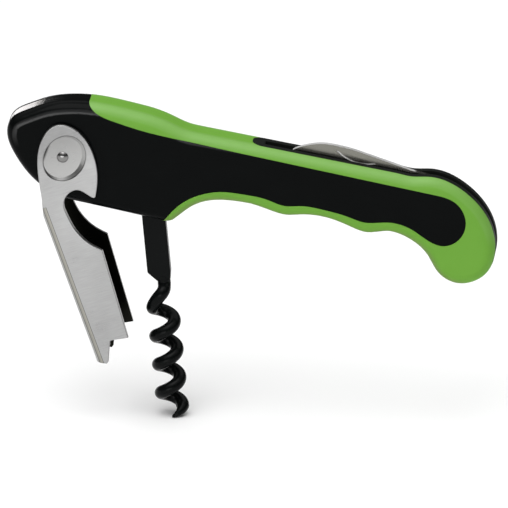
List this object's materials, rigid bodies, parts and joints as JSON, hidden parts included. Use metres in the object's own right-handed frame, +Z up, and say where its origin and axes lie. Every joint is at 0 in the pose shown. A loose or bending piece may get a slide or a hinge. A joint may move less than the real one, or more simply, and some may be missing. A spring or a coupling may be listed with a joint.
{
  "type": "folding lever corkscrew",
  "caption": "Folding corkscrew with a slim soft-skinned handle, a hinged sheet-steel lever with cap lifter and lip step, a hinged coated worm and a foil knife in its back.",
  "frame": {"origin": "on the worm's line, level with the lever's step: the centre of the bottle mouth that the tool stands on", "axes": "+X from the nose to the tail of the handle, +Y across it from front to rear, +Z up out of the bottle"},
  "size_m": [0.1291, 0.0142, 0.0883],
  "materials": {
    "black_shell": "moulded matte black",
    "green_skin": "soft-touch overmould",
    "black_liner": "moulded black",
    "lever_steel": "satin",
    "frame_steel": "bright rolled",
    "pin_steel": "turned",
    "blade_steel": "polished",
    "coated_wire": "black non-stick coating",
    "washer_brass": "plain"
  },
  "bodies": {
    "handle": {"front_cover": "black_shell", "rear_cover": "black_shell", "front_grip": "green_skin", "rear_grip": "green_skin", "nose_frame": "frame_steel", "knife_liner": "black_liner", "lever_spacer": "pin_steel", "front_lever_bush": "pin_steel", "rear_lever_bush": "pin_steel", "worm_pin": "pin_steel", "front_worm_spacer": "pin_steel", "rear_worm_spacer": "pin_steel", "knife_pin": "pin_steel", "front_knife_washer": "washer_brass", "rear_knife_washer": "washer_brass", "cover_pins": "pin_steel"},
    "lever": {"lever": "lever_steel", "lever_rivet": "pin_steel"},
    "worm": {"worm": "coated_wire"},
    "knife": {"knife_blade": "blade_steel"}
  },
  "joints": [
    {"name": "lever_pivot", "type": "hinge", "parent": "handle", "child": "lever", "pos_m": [-0.0256, 0, 0.0499], "axis": [0, 1, 0], "range_deg": [-57, 30]},
    {"name": "worm_pivot", "type": "hinge", "parent": "handle", "child": "worm", "pos_m": [-0.0035, 0, 0.0465], "axis": [0, 1, 0], "range_deg": [-75.1, 39.6]},
    {"name": "knife_pivot", "type": "hinge", "parent": "handle", "child": "knife", "pos_m": [0.0735, 0, 0.0413], "axis": [0, 1, 0], "range_deg": [0, 180]}
  ],
  "couplings": [
    {"joint": "worm_pivot", "follows": "lever_pivot", "ratio": 1.3158}
  ]
}
